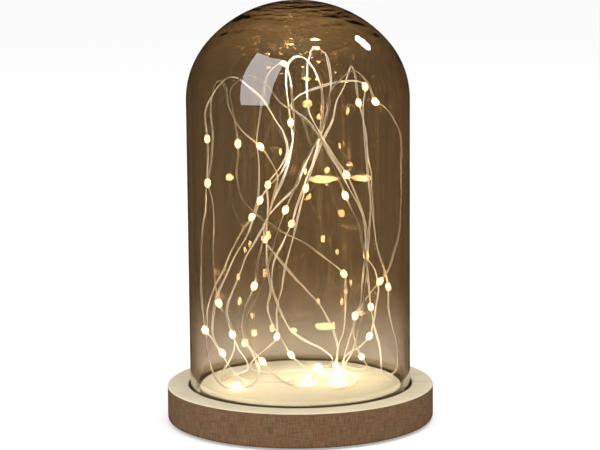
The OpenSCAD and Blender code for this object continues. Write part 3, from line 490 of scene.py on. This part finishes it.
# The dark glass takes most of what shines through it, so what stands in the open glows far less.
RESIN_GLOW, GEL_GLOW = 9.0, 50.0
GOLD_IN_GLASS, GOLD_IN_THE_OPEN = (1.0, 0.8, 0.4), (0.15, 0.08, 0.015)
HOT_IN_GLASS, HOT_IN_THE_OPEN = (1.0, 0.93, 0.8), (0.02, 0.012, 0.003)
resin = Finish("glowing_resin")
strength = resin.node("Attribute", {"attribute_name": "lamp_power"}, out="Fac")
gold = resin.mix(through_glass(resin), GOLD_IN_THE_OPEN, GOLD_IN_GLASS)
glowing_resin = resin.surface(resin.gloss(
    base_color=(0.03, 0.02, 0.01), roughness=0.12, coat_weight=0.5, alpha=0.5,
    emission_color=resin.node("VectorMath", {"operation": "SCALE"},
                              {0: gold, "Scale": strength}),
    emission_strength=RESIN_GLOW))
lamp_drops = piece("resin_drops", joined(drops), glowing_resin, "base", ["lamp_drops"])
glow = lamp_drops.data.attributes.new("lamp_power", "FLOAT", "POINT")
glow.data.foreach_set("value", np.repeat(np.outer(power, fade).ravel(), DROP_RING))
gels = [gel(place, size) for place, (_, size) in zip(lamp_place, lamp_kinds)]
hot = Finish("phosphor_gel")
lamp_gels = piece("phosphor_gels", joined(gels), hot.surface(hot.gloss(
    base_color=(0.3, 0.2, 0.05), roughness=0.4, emission_strength=GEL_GLOW,
    emission_color=hot.mix(through_glass(hot), HOT_IN_THE_OPEN, HOT_IN_GLASS))), "base")

# A drop throws its light from a small ball round its chip, and a golden ball there shows in the
# glass as its mirror image. The ones that lie on the disc are dimmer. Three soft balls up the
# middle stand for the light that goes to and fro between the glass walls. What stands in the open
# is lit by OPEN_SHARE of it all.
OPEN_SHARE = 0.03


def lamp_light(name, place, radius, watts, color, rays):
    """A round lamp inside the dome."""
    data = bpy.data.lights.new(name, "POINT")
    data.energy, data.color = watts, color
    data.shadow_soft_size, data.use_soft_falloff = radius, False
    lit = Finish(name, data, "Light")
    lit.surface(lit.node("Emission", (), {
        "Strength": through_glass(lit) * (1 - OPEN_SHARE) + OPEN_SHARE}))
    lamp = bpy.data.objects.new(name, data)
    scene.collection.objects.link(lamp)
    lamp.location = place
    show_to(lamp, rays)


LAMP_R, LAMP_WATTS, LAMP_COLOR = 1.9 * MM, 0.036, (0.78, 0.97, 1.22)
SHINE_R, SHINE_WATTS, SHINE_COLOR = 2.2 * MM, 0.05, (1.0, 0.74, 0.36)
ON_DISC, ON_DISC_SHARE = 34 * MM, 0.15
GLASS_GLOW_R = 15 * MM
GLASS_GLOWS = [(100 * MM, 0.03), (145 * MM, 0.11), (190 * MM, 0.17)]  # height and watts
for k, (place, share) in enumerate(zip(lamp_place, power.tolist())):
    spot = wire_run[place]
    if spot[2] < ON_DISC:
        share *= ON_DISC_SHARE
    lamp_light(f"lamp_light_{k + 1}", spot, LAMP_R, LAMP_WATTS * share, LAMP_COLOR, ["diffuse"])
    lamp_light(f"lamp_shine_{k + 1}", spot, SHINE_R, SHINE_WATTS, SHINE_COLOR, ["glossy"])
for k, (height, watts) in enumerate(GLASS_GLOWS):
    lamp_light(f"glass_glow_{k + 1}", (0, 0, height), GLASS_GLOW_R, watts, LAMP_COLOR, ["diffuse"])

CHIP_HALF = (0.8 * MM, 0.4 * MM, 0.25 * MM)
CUBE = [(x, y, z) for x in (-1, 1) for y in (-1, 1) for z in (-1, 1)]
CUBE_FACES = [(0, 1, 3, 2), (4, 6, 7, 5), (0, 4, 5, 1), (2, 3, 7, 6), (0, 2, 6, 4), (1, 5, 7, 3)]
chips = joined([(np.array([wire_run[p] + wire_ahead[p] * x * CHIP_HALF[0]
                           + across[p] * y * CHIP_HALF[1]
                           + np.cross(wire_ahead[p], across[p]) * z * CHIP_HALF[2]
                           for x, y, z in CUBE]), CUBE_FACES) for p in lamp_place])
phosphor = Finish("led_phosphor")
grain = phosphor.noise(phosphor.point(), 2400, 2)
lamp_chips = piece("led_chips", chips, phosphor.surface(phosphor.gloss(
    base_color=phosphor.mix(grain, (1.0, 0.82, 0.25), (0.95, 0.7, 0.15)), roughness=0.5,
    emission_color=(1.0, 0.85, 0.5), emission_strength=2.0)), "base", ["lamp_chips"],
    smooth=False)


# Glass dome. One blown piece of smoked brown glass with a rippled crown and a ground rim. Nothing
# holds it: it only stands in its groove, and is lifted off by hand.
GLASS_R, GLASS_WALL = 60 * MM, 2.5 * MM
GLASS_LOW, GLASS_SPRING = 15 * MM, 175 * MM
SHOULDER_R, CAP_H = 47 * MM, 53 * MM
GLASS_TURN, WALL_ROWS, CAP_STEPS = 192, 24, 40


def cap_outline(inset):
    """The dome's outline from its spring line to its top, drawn in by inset: (radius, height)."""
    shoulder_x = GLASS_R - SHOULDER_R
    rise = CAP_H - SHOULDER_R
    crown_y = (rise ** 2 - shoulder_x ** 2) / (2 * rise)
    join = math.atan2(-crown_y, shoulder_x)
    crown_r = CAP_H - crown_y
    points = [(shoulder_x + (SHOULDER_R - inset) * math.cos(a),
               GLASS_SPRING + (SHOULDER_R - inset) * math.sin(a))
              for a in np.linspace(0, join, CAP_STEPS)]
    points += [((crown_r - inset) * math.cos(a),
                GLASS_SPRING + crown_y + (crown_r - inset) * math.sin(a))
               for a in np.linspace(join, math.pi / 2, CAP_STEPS)[1:]]
    return points


ON_AXIS = 1e-7


def turned(outline, ring):
    """A turned surface from an outline of (radius, height). Points on the axis become one corner."""
    corners, rows = [], []
    for radius, height in outline:
        if radius < ON_AXIS:
            rows.append([len(corners)] * ring)
            corners.append((0, 0, height))
        else:
            rows.append(list(range(len(corners), len(corners) + ring)))
            corners += [(radius * math.cos(2 * math.pi * j / ring),
                         radius * math.sin(2 * math.pi * j / ring), height) for j in range(ring)]
    faces = []
    for low, high in zip(rows, rows[1:]):
        for j in range(ring):
            face = [low[j], low[(j + 1) % ring], high[(j + 1) % ring], high[j]]
            face = [c for k, c in enumerate(face) if c not in face[:k]]
            if len(face) > 2:
                faces.append(face)
    return corners, faces


RIM_ROUND, RIM_BEND = 0.5 * MM, 0.3


def wall_outline(radius, inward):
    """One face of the wall, from its low edge, rounded to one side, up to the spring line."""
    points = [(radius - inward * RIM_ROUND, GLASS_LOW),
              (radius - inward * RIM_ROUND * RIM_BEND, GLASS_LOW + RIM_ROUND * RIM_BEND),
              (radius, GLASS_LOW + RIM_ROUND)]
    heights = np.linspace(GLASS_LOW + 2 * RIM_ROUND, GLASS_SPRING, WALL_ROWS)[:-1]
    return points + [(radius, height) for height in heights]


skin = turned(wall_outline(GLASS_R, 1) + cap_outline(0)[:-1] + [(0, GLASS_SPRING + CAP_H)],
              GLASS_TURN)
lining = turned(wall_outline(GLASS_R - GLASS_WALL, -1) + cap_outline(GLASS_WALL)[:-1]
                + [(0, GLASS_SPRING + CAP_H - GLASS_WALL)], GLASS_TURN)
rim_low = [[j, len(skin[0]) + j, len(skin[0]) + (j + 1) % GLASS_TURN, (j + 1) % GLASS_TURN]
           for j in range(GLASS_TURN)]
shell = joined([skin, (lining[0], [face[::-1] for face in lining[1]])])

# The smoke is nearly clear at the rim and lighter in the crown, with broad upright streaks where
# the glass was drawn. Fine golden streaks up the wall are painted reflection: they stand for the
# lamps' glints in the glass. Ripples run round the crown, and fainter ones across the wall. Shade
# and soft light pass straight through, dimmed by the smoke and by LET_OUT. A fade is the heights
# between which a tint comes in.
SMOKE, STREAK_SMOKE, PAINTED_GLINT_SMOKE = (0.325, 0.254, 0.174), (0.39, 0.285, 0.18), (0.6, 0.43, 0.22)
RIM_SMOKE, CROWN_SMOKE = (0.68, 0.6, 0.5), (0.48, 0.355, 0.21)
RIM_FADE, PAINTED_GLINT_FADE, CROWN_FADE = (34 * MM, 82 * MM), (40 * MM, 100 * MM), (188 * MM, 222 * MM)
STREAK_SHARE, PAINTED_GLINT_SHARE = 0.7, 0.45
CROWN_WAVES, WALL_WAVES, WAVE_DEPTH = 1.5, 0.3, 0.8 * MM
LET_OUT = 0.4
smoke = Finish("smoked_glass")
x, y, z = smoke.place()
crown_share = z.between(*CROWN_FADE)
from_axis = (x * x + y * y).math("SQRT")
crown_waves = smoke.noise(smoke.vector(x * 0.7, y * 0.7, from_axis * 2), 90, 2, 0.4)
wall_waves = smoke.noise(smoke.vector(x * 0.35, y * 0.35, z), 80, 2, 0.4)
waves = crown_waves * crown_share * CROWN_WAVES + wall_waves * (1 - crown_share) * WALL_WAVES
streaks = smoke.noise(smoke.vector(x, y, z * 0.08), 55, 3).between(0.4, 0.7)
tint = smoke.mix(streaks * STREAK_SHARE, SMOKE, STREAK_SMOKE)
# Painted reflection: fine golden streaks up the wall stand for the lamps' glints in the glass.
painted_glint_streaks = smoke.noise(smoke.vector(x, y, z * 0.03), 330, 2).between(0.52, 0.7)
tint = smoke.mix(painted_glint_streaks * z.between(*PAINTED_GLINT_FADE) * PAINTED_GLINT_SHARE, tint, PAINTED_GLINT_SMOKE)
tint = smoke.mix(z.between(*RIM_FADE), RIM_SMOKE, tint)
glass = smoke.gloss(
    base_color=smoke.mix(crown_share, tint, CROWN_SMOKE), roughness=0.0, ior=1.7,
    specular_ior_level=1.0, transmission_weight=1.0, normal=smoke.bump(waves, WAVE_DEPTH, 0.5))
let_out = smoke.node("BsdfTransparent", (), {"Color": tuple(LET_OUT * c ** 0.5 for c in SMOKE)})
loose = smoke.node("LightPath", out="Is Shadow Ray").math(
    "MAXIMUM", smoke.node("LightPath", out="Is Diffuse Ray"))
smoked_glass = smoke.surface(smoke.node("MixShader", (), {0: loose, 1: glass, 2: let_out}))
piece("glass_dome_shell", (shell[0], shell[1] + rim_low), smoked_glass, "dome", ["glass_dome"])


# Wooden base. A turned disc with the ring groove for the glass and a routed pocket below. The
# top is pale and sanded, the side is stained brown, with a fine cross grain like linen.
def dress(node, material):
    """A CAD node keeps its shape and gets a finish."""
    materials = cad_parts[node].data.materials
    materials.clear()
    materials.append(material)


# The grain runs along x, so its noises have few swells to the metre that way and many across.
BASE_R, GRAIN_DEPTH = 72.5 * MM, 0.12 * MM
SIDE_FADE, LEVEL_FADE = (69.5 * MM, 69.8 * MM), (0.5, 0.75)
wood = Finish("turned_wood")
x, y, z = wood.place()
upward = wood.node("SeparateXYZ", (), {0: wood.node("NewGeometry", out="Normal")}, 2)
round_way = y.math("ARCTAN2", x) * BASE_R
from_axis = (x * x + y * y).math("SQRT")
on_side = from_axis.between(*SIDE_FADE) * (1 - upward.between(*LEVEL_FADE))
long_grain = wood.noise(wood.vector(x * 14, y * 260, z * 120), 1.0, 5, 0.62, 0.4)
soft_bands = wood.noise(wood.vector(x * 5, y * 62, z * 62), 1.0, 3, 0.5, 0.8)
pores = wood.noise(wood.vector(x * 70, y * 1500, z * 900), 1.0, 2).between(0.56, 0.72)
pale = wood.mix(soft_bands.between(0.3, 0.7), (0.93, 0.83, 0.6), (0.88, 0.76, 0.52))
pale = wood.mix(long_grain.between(0.45, 0.75) * 0.45, pale, (0.68, 0.53, 0.35))
pale = wood.mix(pores * 0.18, pale, (0.6, 0.42, 0.25))
upright = wood.noise(wood.vector(round_way * 2300, z * 160, 0.0), 1.0, 3, 0.6)
level = wood.noise(wood.vector(round_way * 150, z * 2100, 3.0), 1.0, 3, 0.6)
clouds = wood.noise(wood.vector(round_way * 60, z * 70, 0.0), 1.0, 3, 0.6)
linen = upright * 0.55 + level * 0.45
brown = wood.mix(linen.between(0.34, 0.66), (0.118, 0.063, 0.029), (0.29, 0.178, 0.092))
brown = wood.mix(clouds.between(0.35, 0.7) * 0.45, brown, (0.24, 0.105, 0.045))
turned_wood = wood.surface(wood.gloss(
    base_color=wood.mix(on_side, pale, brown), roughness=0.62 - on_side * 0.04,
    specular_ior_level=0.1,
    normal=wood.bump(on_side * linen * 1.6 + long_grain * 0.4 - pores * 0.5, GRAIN_DEPTH, 0.6)))
dress("wooden_base", turned_wood)


# Feet. Four round pads punched from black foam sheet and glued under the base. They keep the wood
# and the battery door off the table.
FOAM_DEPTH = 0.2 * MM
foam = Finish("foam_pad")
bubbles = foam.node("TexVoronoi", {"feature": "F1"}, {"Vector": foam.point(), "Scale": 1800.0})
foam_pad = foam.surface(foam.gloss(
    base_color=foam.mix(bubbles.between(0.1, 0.6), (0.012, 0.012, 0.012), (0.035, 0.034, 0.032)),
    roughness=0.95, normal=foam.bump(bubbles, FOAM_DEPTH, 0.7)))
for k in range(1, 5):
    dress(f"foot_{k}", foam_pad)


# Battery box. Moulded black plastic with a fine spark-eroded skin, sunk in the pocket from below
# and held by two screws. Its door turns on two stubs and snaps shut over the cells.
SKIN_DEPTH = 0.06 * MM


def moulded(name, dark, light):
    """Matt moulded plastic with a fine eroded skin."""
    plastic = Finish(name)
    point = plastic.point()
    skin_grain = plastic.noise(point, 3200, 3)
    cloudy = plastic.noise(point, 55, 2)
    return plastic.surface(plastic.gloss(
        base_color=plastic.mix(cloudy.between(0.3, 0.7), dark, light),
        roughness=skin_grain * 0.2 + 0.42, normal=plastic.bump(skin_grain, SKIN_DEPTH, 0.5)))


dress("battery_box", moulded("box_plastic", (0.016, 0.016, 0.017), (0.026, 0.026, 0.027)))
dress("battery_door", moulded("door_plastic", (0.02, 0.02, 0.021), (0.03, 0.03, 0.031)))


# Cells. Three of them lie side by side in the box, each turned the other way from the next. They
# are steel cans in plain blue shrunk film, which leaves the ends bare.
FILM_HALF, FILM_EDGE = 16.8 * MM, 0.1 * MM
film = Finish("cell_film")
x, y, z = film.place()
scuffs = film.noise(film.vector(x * 90, y * 900, z * 90), 1.0, 3)
film_color = film.mix(scuffs.between(0.5, 0.7) * 0.3, (0.02, 0.09, 0.2), (0.08, 0.16, 0.28))
at_end = y.math("ABSOLUTE").between(FILM_HALF, FILM_HALF + FILM_EDGE)
cell_film = film.surface(film.gloss(
    base_color=film.mix(at_end, film_color, (0.72, 0.7, 0.66)), metallic=at_end * 0.8 + 0.1,
    roughness=0.28 + scuffs * 0.15, coat_weight=0.5))
for k in range(1, 4):
    dress(f"battery_{k}", cell_film)


# Contacts and screws. The contacts are cut from thin nickel-plated sheet and lie on the end walls
# of the cell bay. The two screws go through the ears of the box into the wood.
LINE_DEPTH = 0.02 * MM


def plated(name, color, roughness):
    """Bare or plated metal with fine drawn lines."""
    metal = Finish(name)
    x, y, z = metal.place()
    lines = metal.noise(metal.vector(x * 700, y * 40, z * 40), 1.0, 3)
    return metal.surface(metal.gloss(base_color=color, metallic=1.0,
                                     roughness=lines * 0.25 + roughness,
                                     normal=metal.bump(lines, LINE_DEPTH, 0.4)))


nickel = plated("contact_plate", (0.78, 0.76, 0.7), 0.25)
for node in ("minus_contact", "plus_contact", "bridge_contact_1", "bridge_contact_2"):
    dress(node, nickel)
dress("box_screws", plated("screw_steel", (0.62, 0.62, 0.6), 0.3))


# Cone springs. Each is coiled from nickel-plated wire, sits with its wide end on a contact plate
# and presses on the flat end of its cell.
SPRING_WIRE, SPRING_L, SPRING_TURNS, TURN_STEPS = 0.6 * MM, 5 * MM, 3, 24
SPRING_WIDE, SPRING_TAPER, SPRING_RING = 3.4 * MM, 1.3 * MM, 10
CELL_PLACE = [(-27.0 * MM, -1), (-15.8 * MM, 1), (-4.6 * MM, -1)]
CELL_Z, BAY_HALF, PLATE_T = 8.35 * MM, 25.4 * MM, 0.4 * MM
spring_finish = plated("spring_steel", (0.8, 0.79, 0.76), 0.2)
for k, (cell_x, way) in enumerate(CELL_PLACE):
    t = np.linspace(0, 1, TURN_STEPS * SPRING_TURNS + 1)
    coil_r = SPRING_WIDE - SPRING_TAPER * t
    rise = SPRING_WIRE + (SPRING_L - 2 * SPRING_WIRE) * t
    coil = np.stack([coil_r * np.cos(2 * math.pi * SPRING_TURNS * t),
                     coil_r * np.sin(2 * math.pi * SPRING_TURNS * t), rise], 1)
    coil = np.vstack([coil[0] - (0, 0, SPRING_WIRE), coil, coil[-1] + (0, 0, SPRING_WIRE)])
    inward = np.stack([coil[:, 0] + cell_x, way * (BAY_HALF - PLATE_T - coil[:, 2]),
                       CELL_Z + way * coil[:, 1]], 1)
    piece(f"cone_spring_{k + 1}", tube(inward, SPRING_WIRE / 2, SPRING_RING), spring_finish,
          "base", [f"contact_spring_{k + 1}"])


# Circuit board. A strip of green glass laminate that carries the timer chip, its crystal and one
# resistor, all soldered. It lies over the slide switch.
board = Finish("board_laminate")
x, y, z = board.place()
weave = board.noise(board.vector(x * 1200, y * 1200, z), 1.0, 2)
tracks = board.noise(board.vector(x * 300, y * 60, z), 1.0, 1).between(0.52, 0.54)
dress("circuit_board", board.surface(board.gloss(
    base_color=board.mix(tracks * 0.6 + weave * 0.2, (0.01, 0.12, 0.04), (0.03, 0.28, 0.1)),
    roughness=0.3, coat_weight=0.4)))
chip = Finish("chip_epoxy")
mould = chip.noise(chip.point(), 2600, 2)
LEG_TOP, LEG_EDGE = 8.02 * MM, 0.1 * MM
legs = 1 - chip.place()[2].between(LEG_TOP, LEG_TOP + LEG_EDGE)
dress("timer_chip", chip.surface(chip.gloss(
    base_color=chip.mix(legs, (0.02, 0.02, 0.02), (0.7, 0.7, 0.68)), metallic=legs,
    roughness=mould * 0.2 + 0.4)))
dress("timer_crystal", plated("crystal_can", (0.75, 0.75, 0.77), 0.2))
glaze = Finish("resistor_ceramic")
RESISTOR_X, GLAZE_HALF, GLAZE_EDGE = 17.5 * MM, 1.08 * MM, 0.04 * MM
from_middle = (glaze.place()[0] - RESISTOR_X).math("ABSOLUTE")
tinned = from_middle.between(GLAZE_HALF, GLAZE_HALF + GLAZE_EDGE)
dress("chip_resistor", glaze.surface(glaze.gloss(
    base_color=glaze.mix(tinned, (0.02, 0.02, 0.025), (0.72, 0.72, 0.7)), metallic=tinned,
    roughness=0.32 + glaze.noise(glaze.point(), 3000, 2) * 0.1)))


# Slide switch, with on, off and timer places. A pressed shell carries the white knob, which
# reaches down through the slot in the floor of the box.
dress("switch_body", plated("switch_shell", (0.68, 0.68, 0.69), 0.3))
ivory = Finish("knob_plastic")
wear = ivory.noise(ivory.point(), 900, 3)
dress("switch_knob", ivory.surface(ivory.gloss(
    base_color=ivory.mix(wear.between(0.4, 0.7), (0.82, 0.81, 0.77), (0.72, 0.7, 0.64)),
    roughness=wear * 0.15 + 0.25)))


# Leads. Soft insulated wire from the end contacts through the notches to the board, and a short
# stretch of the lamp wire from the board up into the glue.
LEAD_D, LEAD_STEP, LEAD_RING = 1.0 * MM, 0.5 * MM, 10
LEAD_Y, LEAD_Z = 24.5, 13.23
LEAD = [(1.0, LEAD_Y, LEAD_Z), (3.5, LEAD_Y, LEAD_Z), (5.1, 23.9, LEAD_Z), (6.7, 21.5, 12.83),
        (7.7, 16.67, 12.03), (8.4, 13.87, 11.03), (8.5, 12.67, 9.0), (8.5, 12.67, 7.6)]
DULLED = 0.8


def lead(name, node, start_x, way, color, slot):
    """One lead, from a contact to its pad."""
    bends = np.array([(start_x, LEAD_Y, LEAD_Z)] + LEAD) * (1, way, 1) * MM
    sleeve = Finish(slot)
    matt = sleeve.noise(sleeve.point(), 1500, 2)
    cover = sleeve.surface(sleeve.gloss(
        base_color=sleeve.mix(matt, color, tuple(c * DULLED for c in color)),
        roughness=matt * 0.2 + 0.45))
    piece(name, tube(smooth_run(bends, LEAD_STEP)[0], LEAD_D / 2, LEAD_RING), cover, "base",
          [node])


lead("red_lead_sleeve", "red_lead", -7.6, 1, (0.6, 0.02, 0.015), "red_insulation")
lead("black_lead_sleeve", "black_lead", -30.0, -1, (0.02, 0.02, 0.02), "black_insulation")
FEED = [(21, 0, 7.6), (21, 0, 8.8), (22, 0, 10.2), (24, 0, 11.8), (25, 0, 14), (25, 0, 15),
        (25, 0, 19)]
FEED_APART = 0.2 * MM
feed_run = smooth_run(np.array(FEED, float) * MM, LEAD_STEP)[0]
feed_strands = joined([tube(feed_run + (0, side * FEED_APART, 0), STRAND_R, STRAND_RING)
                       for side in (-1, 1)])
piece("feed_wire_strands", feed_strands, silvered_wire, "base", ["feed_wire"])


# Glue plug. A bead of hot-melt glue fills the hole in the disc and holds the string, with a low
# uneven button on the wood.
GLUE_X, GLUE_TOP, GLUE_DEPTH = 25 * MM, 20 * MM, 3 * MM
BUTTON_R, BUTTON_H, HOLE_R = 3.4 * MM, 0.9 * MM, 1.98 * MM
IN_HOLE, UNEVEN = HOLE_R * 1.05, 0.06
GLUE_RING, BUTTON_STEPS = 40, 9
button = [(0.0, GLUE_TOP + BUTTON_H)]
button += [(BUTTON_R * math.sin(a), GLUE_TOP + BUTTON_H * math.cos(a))
           for a in np.linspace(0, math.pi / 2, BUTTON_STEPS)[1:]]
stem = [(HOLE_R, GLUE_TOP), (HOLE_R, GLUE_TOP - GLUE_DEPTH), (0.0, GLUE_TOP - GLUE_DEPTH)]
plug = turned(button + stem, GLUE_RING)
corners = np.array(plug[0])
turn = np.arctan2(corners[:, 1], corners[:, 0])
on_wood = np.hypot(corners[:, 0], corners[:, 1]) > IN_HOLE
lobes = 1 + np.sin(3 * turn + 0.6) * 0.6 + np.sin(5 * turn) * 0.4
corners[:, :2] *= (1 - UNEVEN * on_wood * lobes)[:, None]
corners[:, 0] += GLUE_X
glue = Finish("hot_melt_glue")
mist = glue.noise(glue.point(), 500, 3)
piece("glue_button", (corners, [face[::-1] for face in plug[1]]), glue.surface(glue.gloss(
    base_color=glue.mix(mist, (0.86, 0.8, 0.66), (0.76, 0.68, 0.5)), roughness=mist * 0.2 + 0.25,
    subsurface_weight=0.3, subsurface_scale=0.002)), "base", ["glue_plug"])
